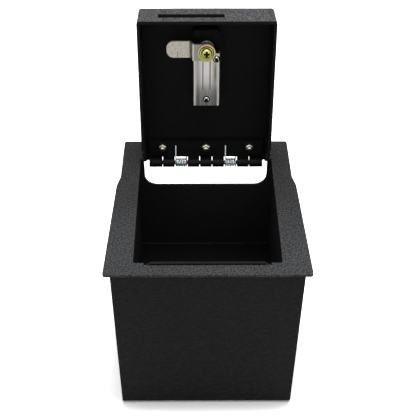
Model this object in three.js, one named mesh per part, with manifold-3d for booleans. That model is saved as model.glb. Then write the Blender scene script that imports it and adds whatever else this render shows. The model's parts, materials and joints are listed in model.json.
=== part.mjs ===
// Console safe: a stepped steel tub with a top flange, a sprung hinged lid and a dial cam lock.
// Millimetres, +X to the right, +Y to the back, +Z up. The lid stands open, leaning back.

import * as THREE from 'three';
import { mergeVertices } from 'three/addons/utils/BufferGeometryUtils.js';
import Module from 'manifold-3d';

const wasm = await Module();
wasm.setup();

// Sheet and clearances
const SHEET = 2.66;
const BEND = 2;
const FIT = 0.3;
const SLIVER = 0.01;
const ARC_STEP = THREE.MathUtils.degToRad(15);

// Tub, measured from the flange's top face and front edge
const TUB_HEIGHT = 196.4;
const TUB_LENGTH = 182;
const TUB_FRONT_WIDTH = 174.9;
const TUB_BACK_WIDTH = 149.8;
const TUB_SETBACK = 5.5;
const FLOOR_LENGTH = 126;
const SHELF_DROP = 137.3;
const FLOOR_HOLE_DIAMETER = 8.5;
const FLOOR_HOLE_SPREAD = 108;
const FLOOR_HOLE_INSET = 24;

// Notch in the tub's back wall, behind the hinge
const NOTCH_WIDTH = 129.8;
const NOTCH_DEPTH = 50.5;
const NOTCH_RADIUS = 13;

// Flange
const FLANGE_LENGTH = 195.5;
const FLANGE_FRONT_WIDTH = 186.5;
const FLANGE_WAIST_WIDTH = 177.1;
const FLANGE_NECK_WIDTH = 170.6;
const FLANGE_BACK_WIDTH = 169.4;
const WAIST_SETBACK = 123.3;
const NECK_SETBACK = 137.2;
const FLANGE_CORNER = 2.5;
const STEP_RADIUS = 9;
const OPENING_WIDTH = 133.8;
const OPENING_SETBACK = 15.4;
const OPENING_LENGTH = 150.4;
const OPENING_CORNER = 1.5;
const HINGE_BAY_WIDTH = 130.8;

// Strike plate in the front edge of the opening
const STRIKE_WIDTH = 113.4;
const STRIKE_CHAMFER = 6;
const STRIKE_CHAMFER_HEIGHT = 4.2;
const STRIKE_RISE = 1.8;
const STRIKE_DROP = 19;

// Hinge
const HINGE_SETBACK = 175.7;
const KNUCKLE_PITCH = 12.8;
const FIXED_SEGMENTS = [0, 4, 8];
const MOVING_SEGMENTS = [1, 3, 5, 7];
const SPRING_SEGMENTS = [2, 6];
const SEGMENT_COUNT = 9;
const HINGE_END = 0.9;
const KNUCKLE_RADIUS = 4.65;
const KNUCKLE_GAP = 0.8;
const LEAF = 2.6;
const SPACER = 4.5;
const LEAF_SETBACK = 7.2;
const MOVING_LEAF_REACH = 23.6;
const FIXED_LEAF_INSET = 0.6;
const PIN_RADIUS = 2.2;
const PIN_CLEARANCE = 0.2;
const LID_OPEN_DEGREES = 100;

// Torsion springs
const WIRE = 1.2;
const COIL_TURNS = 6;
const COIL_RADIUS = 3.5;
const MOVING_LEG = 19;
const FIXED_LEG = 17;
const CURL_STEPS = 8;
const WIRE_SIDES = 5;

// Lid pan
const LID_SIDE_GAP = 0.9;
const SWING_GAP = 0.4;
const LIP_DEPTH = 37.8;
const LID_CORNER = 3;
const LIP_END_SETBACK = 6.5;
const LIP_END_RADIUS = 24;
const LIP_FOOT = 3.4;
const LID_TAIL = 2.3;
const WELD_RADIUS = 1.7;
const WELD_STRETCH = 2.2;
const WELD_SETBACK = 5;
const WELD_DROP = 0.8;

// Studs and nuts that hold the moving leaf
const NUT_SPACING = 44.7;
const NUT_SETBACK = 17.5;
const NUT_FLATS = 8;
const NUT_HEIGHT = 4;
const STUD_RADIUS = 2.4;
const STUD_RISE = 1.6;
const STUD_POINT = 0.8;

// Lock, measured from its spindle axis and down from the lid's outer face
const LOCK_SETBACK = 125.9;
const LOCK_TAIL = 55;
const LOCK_NOSE = 16.2;
const LOCK_WIDTH = 26;
const LOCK_BASE_DROP = 9;
const NOSE_DROP = 18;
const NOSE_CORNER = 4;
const COVER_DROP = 28;
const COVER_SHEET = 1.2;
const COVER_BEND = 2.4;
const COVER_FRONT_GAP = 2.1;
const RIB_SPACING = 6.8;
const RIB_GROOVE_WIDTH = 1;
const RIB_GROOVE_DEPTH = 0.5;
const RIB_END_GAP = 16;
const BOSS_SPACING = 17;
const BOSS_RADIUS = 2.6;
const BOSS_RISE = 1.2;
const BOSS_SETBACK = 4;
const COLLAR_RADIUS = 6;
const COLLAR_CLEARANCE = 0.6;

// Cam
const CAM_LENGTH = 37.9;
const CAM_WIDTH = 15.9;
const CAM_SHEET = 2.5;
const BLADE_DROP = 21.7;
const CAM_JOGGLE = 8.4;
const JOGGLE_START = 12;
const JOGGLE_RUN = 3;
const BLADE_TIP_RADIUS = 6.5;
const WASHER_RADIUS = 8.5;
const WASHER_STEP_RADIUS = 6.2;
const WASHER_HEIGHT = 1;
const WASHER_STEP_HEIGHT = 0.6;

// Slot in the lid's front lip for the cam
const SLOT_LEFT = 45.1;
const SLOT_RIGHT = 16.5;
const SLOT_HEIGHT = 9.6;

// Spindle, knob and bezel
const SPINDLE_RADIUS = 4;
const TANG_WIDTH = 5.6;
const BEZEL_HEIGHT = 2.5;
const BEZEL_MARGIN = 2.4;
const BEZEL_CORNER = 6;
const KNOB_RADIUS = 8.5;
const KNOB_BASE_HEIGHT = 2.6;
const KNOB_GRIP_WIDTH = 5;
const KNOB_GRIP_HEIGHT = 7;

// Number dials
const DIAL_COUNT = 4;
const DIAL_RADIUS = 9.5;
const DIAL_WIDTH = 6;
const DIAL_PITCH = 8.5;
const DIAL_RISE = 1.2;
const DIAL_NOTCHES = 10;
const DIAL_NOTCH_DEPTH = 0.45;
const DIAL_CLEARANCE = 0.6;
const FIRST_DIAL_SETBACK = 18;
const AXLE_RADIUS = 1.5;
const AXLE_SEAT = 2.6;

// Small screws; the shares are of the head's height and radius
const SCREW_RIM_SHARE = 0.45;
const CROSS_LENGTH_SHARE = 0.55;
const CROSS_WIDTH_SHARE = 0.13;
const TAIL_SCREW_HEAD = 3;
const CORNER_SCREW_HEAD = 2.5;
const COVER_SCREW_HEIGHT = 1.6;
const COVER_SCREW_SHANK = 1.4;
const COVER_SCREW_LENGTH = 6;
const CORNER_SCREW_X = 9.4;
const CORNER_SCREW_SETBACK = 7.5;
const TAIL_SCREW_INSET = 6.6;
const CAM_SCREW_HEAD = 4.6;
const CAM_SCREW_HEIGHT = 2.8;
const CAM_SCREW_SHANK = 1.8;
const CAM_SCREW_LENGTH = 9;

// Places that follow from the sizes above
const HINGE_LENGTH = KNUCKLE_PITCH * SEGMENT_COUNT + 2 * HINGE_END;
const LID_FACE = KNUCKLE_RADIUS + FIT + SPACER + FIT + SHEET;
const LID_OPEN = THREE.MathUtils.degToRad(LID_OPEN_DEGREES);
const BAY_END = HINGE_SETBACK + LID_FACE * Math.tan(LID_OPEN / 2) + FIT;
const LID_WIDTH = HINGE_BAY_WIDTH - 2 * LID_SIDE_GAP;
const LEAN = LID_OPEN - Math.PI / 2;
const LID_BACK_SETBACK = (KNUCKLE_RADIUS + FIT + LID_FACE * Math.sin(LEAN)) / Math.cos(LEAN);
const LIP_DROP = LIP_DEPTH - LID_FACE;
const LID_SWING = HINGE_SETBACK - OPENING_SETBACK - SWING_GAP;
const LID_REACH = Math.sqrt(LID_SWING ** 2 - LIP_DROP ** 2);
const TUB_BACK = TUB_SETBACK + TUB_LENGTH;
const FLOOR_CENTRE = TUB_SETBACK + FLOOR_LENGTH / 2;
const PANEL_INSIDE = LID_FACE - SHEET;
const LOCK_BACK = LOCK_SETBACK - LOCK_TAIL;
const LOCK_FRONT = LOCK_SETBACK + LOCK_NOSE;
const COVER_FACE = LID_FACE - COVER_DROP;
const BLADE_MIDDLE = LID_FACE - BLADE_DROP;
const CAM_MIDDLE = BLADE_MIDDLE - CAM_JOGGLE;
const CAM_BOTTOM = CAM_MIDDLE - CAM_SHEET / 2;
const CAM_TOP = CAM_MIDDLE + CAM_SHEET / 2;
const BEZEL_TOP = LID_FACE + FIT + BEZEL_HEIGHT;
const DIAL_HEIGHT = BEZEL_TOP + DIAL_RISE - DIAL_RADIUS;
const FIRST_DIAL = LOCK_SETBACK - FIRST_DIAL_SETBACK;
const LAST_DIAL = FIRST_DIAL - DIAL_PITCH * (DIAL_COUNT - 1);
const CHAMBER_END = DIAL_WIDTH / 2 + DIAL_CLEARANCE;
const CHAMBER_HALF = DIAL_RADIUS + DIAL_CLEARANCE;

// Finishes
const finish = (color, roughness, metalness) =>
  new THREE.MeshStandardMaterial({ color, roughness, metalness });
const powderCoat = () => finish(0x303134, 0.85, 0.1);
const blackSteel = () => finish(0x1b1b1d, 0.55, 0.4);
const zincPlate = () => finish(0xc9cbcd, 0.3, 0.95);
const nickelPlate = () => finish(0xb9b4aa, 0.35, 0.9);
const yellowZinc = () => finish(0xc8b450, 0.3, 0.9);
const blackZinc = () => finish(0x141415, 0.5, 0.5);
const blackPlastic = () => finish(0x1d1d1f, 0.45, 0.1);

// Solids that boolean cuts and joins work on
function solid(geometry) {
  geometry.deleteAttribute('normal');
  geometry.deleteAttribute('uv');
  const merged = mergeVertices(geometry, 1e-4);
  return new wasm.Manifold(new wasm.Mesh({
    numProp: 3,
    vertProperties: new Float32Array(merged.attributes.position.array),
    triVerts: new Uint32Array(merged.index.array),
  }));
}

function geometryOf(body) {
  const mesh = body.getMesh();
  const geometry = new THREE.BufferGeometry();
  geometry.setAttribute('position', new THREE.BufferAttribute(new Float32Array(mesh.vertProperties), 3));
  geometry.setIndex(new THREE.BufferAttribute(new Uint32Array(mesh.triVerts), 1));
  geometry.computeVertexNormals();
  return geometry;
}

const joined = (...geometries) => geometries.map(solid).reduce((a, b) => a.add(b));
const without = (body, ...geometries) => geometries.map(solid).reduce((a, b) => a.subtract(b), body);

// Outline points from pairs of numbers
const points = (...pairs) => pairs.map(([a, b]) => new THREE.Vector2(a, b));

// Replaces each corner of an outline by an arc; a radius of 0 keeps the corner
function roundCorners(corners, radii, closed = true) {
  const last = corners.length - 1;
  return corners.flatMap((corner, i) => {
    const radius = Array.isArray(radii) ? radii[i] : radii;
    if (!radius || (!closed && (i === 0 || i === last))) return [corner];
    const before = corners[i === 0 ? last : i - 1];
    const after = corners[i === last ? 0 : i + 1];
    const way = corner.clone().sub(before).normalize();
    const on = after.clone().sub(corner).normalize();
    const turn = Math.atan2(way.cross(on), way.dot(on));
    const trim = radius * Math.tan(Math.abs(turn) / 2);
    const start = corner.clone().addScaledVector(way, -trim);
    const inward = new THREE.Vector2(-way.y, way.x).multiplyScalar(Math.sign(turn));
    const centre = start.clone().addScaledVector(inward, radius);
    const spoke = start.clone().sub(centre);
    const steps = Math.max(2, Math.ceil(Math.abs(turn) / ARC_STEP));
    return Array.from({ length: steps + 1 }, (_, k) =>
      spoke.clone().rotateAround(new THREE.Vector2(), turn * k / steps).add(centre));
  });
}

// Moves an open line of points to its left by a distance
function offsetLeft(line, distance) {
  const normals = line.slice(1).map((point, i) => {
    const way = point.clone().sub(line[i]).normalize();
    return new THREE.Vector2(-way.y, way.x);
  });
  return line.map((point, i) => {
    const a = normals[Math.max(0, i - 1)];
    const b = normals[Math.min(normals.length - 1, i)];
    return point.clone().addScaledVector(a.clone().add(b), distance / (1 + a.dot(b)));
  });
}

// Radius of each corner of a line: one value for left turns, another for right turns
function cornerRadii(line, leftTurn, rightTurn) {
  return line.map((point, i) => {
    if (i === 0 || i === line.length - 1) return 0;
    const way = point.clone().sub(line[i - 1]);
    return way.cross(line[i + 1].clone().sub(point)) > 0 ? leftTurn : rightTurn;
  });
}

const circle = (radius, x = 0, y = 0, sides = 24) => Array.from({ length: sides }, (_, i) => {
  const angle = 2 * Math.PI * i / sides;
  return new THREE.Vector2(x + radius * Math.cos(angle), y + radius * Math.sin(angle));
});

const rectangle = (left, right, low, high) => points([left, low], [right, low], [right, high], [left, high]);

function prism(outline, length, holes) {
  const shape = new THREE.Shape(outline);
  shape.holes = holes.map((hole) => new THREE.Path(hole));
  return new THREE.ExtrudeGeometry(shape, { depth: length, bevelEnabled: false });
}

const AXIS_X = new THREE.Vector3(1, 0, 0);
const AXIS_Y = new THREE.Vector3(0, 1, 0);
const AXIS_Z = new THREE.Vector3(0, 0, 1);

// Outline in X and Y, standing from one height to another
const upright = (outline, low, high, holes = []) =>
  prism(outline, high - low, holes).translate(0, 0, low);

// Outline in Y and Z, running from left to right
const across = (outline, left, right, holes = []) => prism(outline, right - left, holes)
  .applyMatrix4(new THREE.Matrix4().makeBasis(AXIS_Y, AXIS_Z, AXIS_X)).translate(left, 0, 0);

// Outline in X and Z, running from front to back
const lengthwise = (outline, front, back, holes = []) => prism(outline, back - front, holes)
  .applyMatrix4(new THREE.Matrix4().makeBasis(AXIS_X, AXIS_Z, AXIS_Y.clone().negate())).translate(0, back, 0);

// Solid of revolution about Z from a half outline of radius and height
const turned = (outline, sides = 32) => new THREE.LatheGeometry(outline, sides).rotateX(Math.PI / 2);

function piece(group, name, shape, material) {
  const geometry = shape.isBufferGeometry ? geometryOf(solid(shape)) : geometryOf(shape);
  const mesh = new THREE.Mesh(geometry, material);
  mesh.name = name;
  group.add(mesh);
  return mesh;
}

// Round wire along a line of points, closed at both ends, as one tube
function wireAlong(line, radius, sides) {
  const positions = [];
  const indices = [];
  const side = new THREE.Vector3(1, 0, 0);
  line.forEach((point, i) => {
    const way = line[Math.min(i + 1, line.length - 1)].clone().sub(line[Math.max(i - 1, 0)]).normalize();
    side.addScaledVector(way, -side.dot(way)).normalize();
    const up = way.clone().cross(side);
    for (let k = 0; k < sides; k += 1) {
      const angle = 2 * Math.PI * k / sides;
      const rim = point.clone().addScaledVector(side, radius * Math.cos(angle))
        .addScaledVector(up, radius * Math.sin(angle));
      positions.push(rim.x, rim.y, rim.z);
    }
  });
  for (let i = 0; i + 1 < line.length; i += 1) {
    for (let k = 0; k < sides; k += 1) {
      const a = i * sides + k;
      const b = i * sides + (k + 1) % sides;
      indices.push(a, b, b + sides, a, b + sides, a + sides);
    }
  }
  const end = (line.length - 1) * sides;
  for (let k = 1; k + 1 < sides; k += 1) {
    indices.push(0, k + 1, k, end, end + k, end + k + 1);
  }
  const geometry = new THREE.BufferGeometry();
  geometry.setAttribute('position', new THREE.Float32BufferAttribute(positions, 3));
  geometry.setIndex(indices);
  return geometry;
}

// Smallest clear distance of a wire to itself, measured between points along it
function leastGap(line, wire) {
  const curve = new THREE.CurvePath();
  line.slice(1).forEach((point, i) => curve.add(new THREE.LineCurve3(line[i], point)));
  const count = 800;
  const samples = curve.getSpacedPoints(count);
  const step = curve.getLength() / count;
  const apart = Math.ceil(3 * wire / step);
  let least = Infinity;
  samples.forEach((point, i) => {
    for (let j = i + apart; j < samples.length; j += 1) {
      least = Math.min(least, point.distanceTo(samples[j]) - wire);
    }
  });
  return least;
}

// Screw with a low domed head above z = 0, a cross recess and a shank below it
function screw(headRadius, headHeight, shankRadius, shankLength) {
  const rim = headHeight * SCREW_RIM_SHARE;
  const dome = Array.from({ length: 4 }, (_, k) => {
    const angle = Math.PI / 2 * k / 3;
    return [headRadius * Math.cos(angle), rim + (headHeight - rim) * Math.sin(angle)];
  });
  const body = solid(turned(points(
    [0, -shankLength], [shankRadius, -shankLength], [shankRadius, 0], [headRadius, 0], ...dome), 24));
  const arm = headRadius * CROSS_LENGTH_SHARE;
  const slot = headRadius * CROSS_WIDTH_SHARE;
  return without(
    body,
    upright(rectangle(-arm, arm, -slot, slot), rim, headHeight + 1),
    upright(rectangle(-slot, slot, -arm, arm), rim, headHeight + 1),
  );
}

const safe = new THREE.Group();
safe.position.set(0, -FLOOR_CENTRE, TUB_HEIGHT);

// Tub: one folded strip for front, floor, riser, shelf and back, and two side walls set into it
const tubFace = points(
  [TUB_SETBACK, -SHEET],
  [TUB_SETBACK, -TUB_HEIGHT],
  [TUB_SETBACK + FLOOR_LENGTH, -TUB_HEIGHT],
  [TUB_SETBACK + FLOOR_LENGTH, -SHELF_DROP - SHEET],
  [TUB_BACK, -SHELF_DROP - SHEET],
  [TUB_BACK, -SHEET],
);
const tubInside = offsetLeft(tubFace, SHEET);

// Half width of the tub in plan at a distance behind its front face
const tubHalfWidth = (setback) => THREE.MathUtils.lerp(
  TUB_FRONT_WIDTH / 2, TUB_BACK_WIDTH / 2, (setback - TUB_SETBACK) / TUB_LENGTH);

function foldedStrip() {
  const outside = roundCorners(tubFace, cornerRadii(tubFace, BEND + SHEET, BEND), false);
  const inside = roundCorners(tubInside, cornerRadii(tubInside, BEND, BEND + SHEET), false);
  const half = TUB_FRONT_WIDTH / 2;
  const strip = solid(across([...outside, ...inside.reverse()], -half, half));
  const backHalf = TUB_BACK_WIDTH / 2;
  const plan = points([-half, TUB_SETBACK], [half, TUB_SETBACK], [backHalf, TUB_BACK], [-backHalf, TUB_BACK]);
  const tapered = strip.intersect(solid(upright(plan, -TUB_HEIGHT - 1, 1)));
  const notch = roundCorners(
    rectangle(-NOTCH_WIDTH / 2, NOTCH_WIDTH / 2, -NOTCH_DEPTH, SHEET), [NOTCH_RADIUS, NOTCH_RADIUS, 0, 0]);
  const holes = [-1, 1].flatMap((side) => [FLOOR_HOLE_INSET, FLOOR_LENGTH - FLOOR_HOLE_INSET].map((inset) =>
    upright(circle(FLOOR_HOLE_DIAMETER / 2, side * FLOOR_HOLE_SPREAD / 2, TUB_SETBACK + inset),
      -TUB_HEIGHT - 1, -TUB_HEIGHT + SHEET + 1)));
  return without(tapered, lengthwise(notch, TUB_BACK - 2 * SHEET, TUB_BACK + 1), ...holes);
}

function sideWall(side) {
  const outline = roundCorners(tubInside, cornerRadii(tubInside, BEND + FIT, BEND + SHEET - FIT), false);
  const blank = solid(across(outline, -TUB_FRONT_WIDTH, TUB_FRONT_WIDTH));
  const outer = (setback) => side * tubHalfWidth(setback);
  const inner = (setback) => side * (tubHalfWidth(setback) - SHEET);
  const plan = points(
    [outer(TUB_SETBACK), TUB_SETBACK], [outer(TUB_BACK), TUB_BACK],
    [inner(TUB_BACK), TUB_BACK], [inner(TUB_SETBACK), TUB_SETBACK]);
  return blank.intersect(solid(upright(side > 0 ? plan : plan.reverse(), -TUB_HEIGHT - 1, 1)));
}

piece(safe, 'tub_wrapper', foldedStrip(), powderCoat());
piece(safe, 'side_wall_left', sideWall(-1), powderCoat());
piece(safe, 'side_wall_right', sideWall(1), powderCoat());

// Flange with the lid opening, its narrower hinge bay and the notch for the strike plate
function flange() {
  const rightEdge = [
    [FLANGE_FRONT_WIDTH / 2, 0], [FLANGE_WAIST_WIDTH / 2, WAIST_SETBACK],
    [FLANGE_NECK_WIDTH / 2, NECK_SETBACK], [FLANGE_BACK_WIDTH / 2, FLANGE_LENGTH],
  ];
  const leftEdge = rightEdge.map(([x, y]) => [-x, y]).reverse();
  const rim = roundCorners(points(...rightEdge, ...leftEdge), [
    FLANGE_CORNER, STEP_RADIUS, STEP_RADIUS, FLANGE_CORNER,
    FLANGE_CORNER, STEP_RADIUS, STEP_RADIUS, FLANGE_CORNER]);
  const mouth = OPENING_WIDTH / 2;
  const bay = HINGE_BAY_WIDTH / 2;
  const bayStart = OPENING_SETBACK + OPENING_LENGTH;
  const opening = roundCorners(points(
    [-mouth, OPENING_SETBACK], [mouth, OPENING_SETBACK], [mouth, bayStart], [bay, bayStart],
    [bay, BAY_END], [-bay, BAY_END], [-bay, bayStart], [-mouth, bayStart],
  ), [OPENING_CORNER, OPENING_CORNER, 0, 0, OPENING_CORNER, OPENING_CORNER, 0, 0]);
  const seat = STRIKE_WIDTH / 2 + FIT;
  return without(
    solid(upright(rim, -SHEET, 0)),
    upright(opening, -2 * SHEET, SHEET),
    upright(rectangle(-seat, seat, OPENING_SETBACK - SHEET, OPENING_SETBACK + 1), -2 * SHEET, SHEET),
  );
}

function strikePlate() {
  const half = STRIKE_WIDTH / 2;
  const shoulder = STRIKE_RISE - STRIKE_CHAMFER_HEIGHT;
  const outline = points(
    [-half, -STRIKE_DROP], [half, -STRIKE_DROP], [half, shoulder], [half - STRIKE_CHAMFER, STRIKE_RISE],
    [-half + STRIKE_CHAMFER, STRIKE_RISE], [-half, shoulder]);
  return lengthwise(outline, OPENING_SETBACK - SHEET, OPENING_SETBACK);
}

piece(safe, 'flange_plate', flange(), powderCoat());
piece(safe, 'strike_plate', strikePlate(), blackSteel());

// Hinge: both leaves lie level with the top of the barrel, each under a spacer bar;
// the frame of these pieces is the hinge axis
const hingeFrame = new THREE.Group();
hingeFrame.position.set(0, HINGE_SETBACK, -LID_FACE);
safe.add(hingeFrame);

const segmentStart = (index) => KNUCKLE_PITCH * (index - SEGMENT_COUNT / 2);

// Section of a leaf that ends in a rolled knuckle, running towards +Y from the axis
function knuckleSection(reach) {
  const under = KNUCKLE_RADIUS - LEAF;
  const meet = Math.sqrt(KNUCKLE_RADIUS ** 2 - under ** 2);
  const from = Math.PI / 2;
  const to = 2 * Math.PI + Math.atan2(under, meet);
  const steps = 20;
  const roll = Array.from({ length: steps + 1 }, (_, k) => {
    const angle = THREE.MathUtils.lerp(from, to, k / steps);
    return new THREE.Vector2(KNUCKLE_RADIUS * Math.cos(angle), KNUCKLE_RADIUS * Math.sin(angle));
  });
  return [...roll, new THREE.Vector2(reach, under), new THREE.Vector2(reach, KNUCKLE_RADIUS)];
}

function hingeLeaf(reach, segments, holes) {
  const bore = circle(PIN_RADIUS + PIN_CLEARANCE, 0, 0, 20);
  const half = HINGE_LENGTH / 2;
  const rolls = segments.map((index) => across(
    knuckleSection(LEAF_SETBACK + FIT),
    index === 0 ? -half : segmentStart(index) + KNUCKLE_GAP / 2,
    index === SEGMENT_COUNT - 1 ? half : segmentStart(index + 1) - KNUCKLE_GAP / 2, [bore]));
  const plate = upright(
    rectangle(-half, half, LEAF_SETBACK, reach), KNUCKLE_RADIUS - LEAF, KNUCKLE_RADIUS, holes);
  return joined(plate, ...rolls);
}

// Bar between a leaf and the sheet that it carries
const spacer = (from, to, holes = []) => upright(
  rectangle(-HINGE_LENGTH / 2, HINGE_LENGTH / 2, from, to),
  KNUCKLE_RADIUS + FIT, KNUCKLE_RADIUS + FIT + SPACER, holes);

const FIXED_LEAF_REACH = FLANGE_LENGTH - FIXED_LEAF_INSET - HINGE_SETBACK;
piece(hingeFrame, 'hinge_fixed_leaf', hingeLeaf(FIXED_LEAF_REACH, FIXED_SEGMENTS, []), blackSteel());
piece(hingeFrame, 'hinge_fixed_spacer', spacer(BAY_END - HINGE_SETBACK, FIXED_LEAF_REACH), blackSteel());
piece(
  hingeFrame, 'hinge_pin',
  new THREE.CylinderGeometry(PIN_RADIUS, PIN_RADIUS, HINGE_LENGTH, 20).rotateZ(Math.PI / 2),
  blackSteel(),
);

// Torsion spring: a leg along the moving leaf, a close coil on the pin, a leg under the fixed leaf
function springLine(index) {
  const first = segmentStart(index) + FIT + WIRE / 2;
  const last = segmentStart(index + 1) - FIT - WIRE / 2;
  const legHeight = KNUCKLE_RADIUS - LEAF - FIT - WIRE / 2;
  const movingTip = new THREE.Vector2(-MOVING_LEG, legHeight).rotateAround(new THREE.Vector2(), -LID_OPEN);
  const fixedTip = new THREE.Vector2(FIXED_LEG, legHeight);
  const start = movingTip.angle() + Math.acos(COIL_RADIUS / movingTip.length());
  const legEnd = fixedTip.angle() - Math.acos(COIL_RADIUS / fixedTip.length());
  const sweep = legEnd + 2 * Math.PI - start + 2 * Math.PI * COIL_TURNS;
  const steps = Math.round(CURL_STEPS * sweep / (2 * Math.PI));
  const coil = Array.from({ length: steps + 1 }, (_, k) => {
    const angle = start + sweep * k / steps;
    const x = THREE.MathUtils.lerp(first, last, k / steps);
    return new THREE.Vector3(x, COIL_RADIUS * Math.cos(angle), COIL_RADIUS * Math.sin(angle));
  });
  return [
    new THREE.Vector3(first, movingTip.x, movingTip.y),
    ...coil,
    new THREE.Vector3(last, fixedTip.x, fixedTip.y),
  ];
}

SPRING_SEGMENTS.forEach((index, i) => {
  const line = springLine(index);
  const name = `torsion_spring_${i === 0 ? 'left' : 'right'}`;
  console.log(`${name}: least gap of the wire to itself ${leastGap(line, WIRE).toFixed(2)} mm`);
  piece(hingeFrame, name, wireAlong(line, WIRE / 2, WIRE_SIDES), zincPlate());
});

// Lid, drawn closed with the hinge axis at the origin and its front towards -Y, then swung open
const lid = new THREE.Group();
lid.position.copy(hingeFrame.position);
lid.rotation.x = -LID_OPEN;
safe.add(lid);

const nutPlaces = [-1, 0, 1].map((side) => side * NUT_SPACING);
const sideNames = ['left', 'middle', 'right'];

// Room of the dials in plan, open through the lid and into the lock's body
const dialRoom = rectangle(-CHAMBER_HALF, CHAMBER_HALF, -FIRST_DIAL - CHAMBER_END, -LAST_DIAL + CHAMBER_END);

function lidPan() {
  const half = LID_WIDTH / 2;
  const hingeRoom = HINGE_LENGTH / 2 + FIT;
  const pan = (inset) => roundCorners(
    rectangle(-half + inset, half - inset, -LID_REACH + inset, LID_TAIL),
    [LID_CORNER - inset, LID_CORNER - inset, 0, 0]);
  const shell = without(
    solid(upright(pan(0), LID_FACE - LIP_DEPTH, LID_FACE)),
    upright(pan(SHEET), LID_FACE - LIP_DEPTH - 1, PANEL_INSIDE),
  );
  const lipBottom = LID_FACE - LIP_DEPTH;
  const lipCorner = cornerCut(-LIP_END_SETBACK, lipBottom, LIP_END_RADIUS);
  const welds = [-1, 1].map((side) => new THREE.SphereGeometry(WELD_RADIUS, 12, 8)
    .scale(1, WELD_STRETCH, 1)
    .translate(side * (half - SHEET - WELD_RADIUS / 2), -WELD_SETBACK, PANEL_INSIDE - WELD_DROP));
  const slot = rectangle(
    -SLOT_LEFT, SLOT_RIGHT, BLADE_MIDDLE - SLOT_HEIGHT / 2, BLADE_MIDDLE + SLOT_HEIGHT / 2);
  return without(
    welds.map(solid).reduce((a, b) => a.add(b), shell),
    across(rectangle(-LIP_END_SETBACK, LID_TAIL + 1, lipBottom - 1, PANEL_INSIDE - LIP_FOOT),
      -half - 1, half + 1),
    across(lipCorner, -half - 1, half + 1),
    across(rectangle(-LID_BACK_SETBACK, LID_TAIL + 1, 0, LID_FACE + 1), -hingeRoom, hingeRoom),
    lengthwise(slot, -LID_REACH - 1, -LID_REACH + SHEET + 1),
    upright(dialRoom, PANEL_INSIDE - 1, LID_FACE + 1),
    upright(circle(SPINDLE_RADIUS + DIAL_CLEARANCE, 0, -LOCK_SETBACK), PANEL_INSIDE - 1, LID_FACE + 1),
  );
}

// Waste outside a rounded lower back corner, in Y and Z
function cornerCut(back, low, radius) {
  const steps = 8;
  const arc = Array.from({ length: steps + 1 }, (_, k) => {
    const angle = -Math.PI / 2 * k / steps;
    return new THREE.Vector2(
      back - radius + radius * Math.cos(angle), low + radius + radius * Math.sin(angle));
  });
  return [...points([back - radius, low - 1], [back + 1, low - 1], [back + 1, low + radius]), ...arc];
}

function movingLeaf() {
  const holes = nutPlaces.map((x) => circle(STUD_RADIUS + FIT, x, NUT_SETBACK, 20));
  return geometryOf(hingeLeaf(MOVING_LEAF_REACH, MOVING_SEGMENTS, holes)).rotateZ(Math.PI);
}

piece(lid, 'lid_pan', lidPan(), powderCoat());
piece(lid, 'hinge_moving_leaf', movingLeaf(), blackSteel());
const studHoles = nutPlaces.map((x) => circle(STUD_RADIUS + FIT, x, -NUT_SETBACK, 20));
piece(
  lid, 'hinge_moving_spacer', spacer(-MOVING_LEAF_REACH, -LID_BACK_SETBACK, studHoles), blackSteel());

const LEAF_FACE = KNUCKLE_RADIUS - LEAF;
const NUT_END = LEAF_FACE - FIT - NUT_HEIGHT;
nutPlaces.forEach((x, i) => {
  const hexagon = circle(NUT_FLATS / Math.sqrt(3), 0, 0, 6)
    .map((corner) => corner.rotateAround(new THREE.Vector2(), Math.PI / 6));
  const nut = upright(hexagon, NUT_END, LEAF_FACE - FIT, [circle(STUD_RADIUS + FIT, 0, 0, 20)]);
  piece(lid, `leaf_nut_${sideNames[i]}`, nut.translate(x, -NUT_SETBACK, 0), zincPlate());
  const tip = NUT_END - STUD_RISE;
  const stud = turned(points(
    [0, tip], [STUD_RADIUS - STUD_POINT, tip], [STUD_RADIUS, tip + STUD_POINT],
    [STUD_RADIUS, PANEL_INSIDE - FIT], [0, PANEL_INSIDE - FIT]), 20);
  piece(lid, `leaf_stud_${sideNames[i]}`, stud.translate(x, -NUT_SETBACK, 0), zincPlate());
});

// Lock: body, cover, bezel, dials and axle
const lockHalf = LOCK_WIDTH / 2;
const blockHalf = lockHalf - COVER_SHEET - FIT;
const collarRoom = circle(COLLAR_RADIUS + COLLAR_CLEARANCE, 0, -LOCK_SETBACK, 32);

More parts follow.
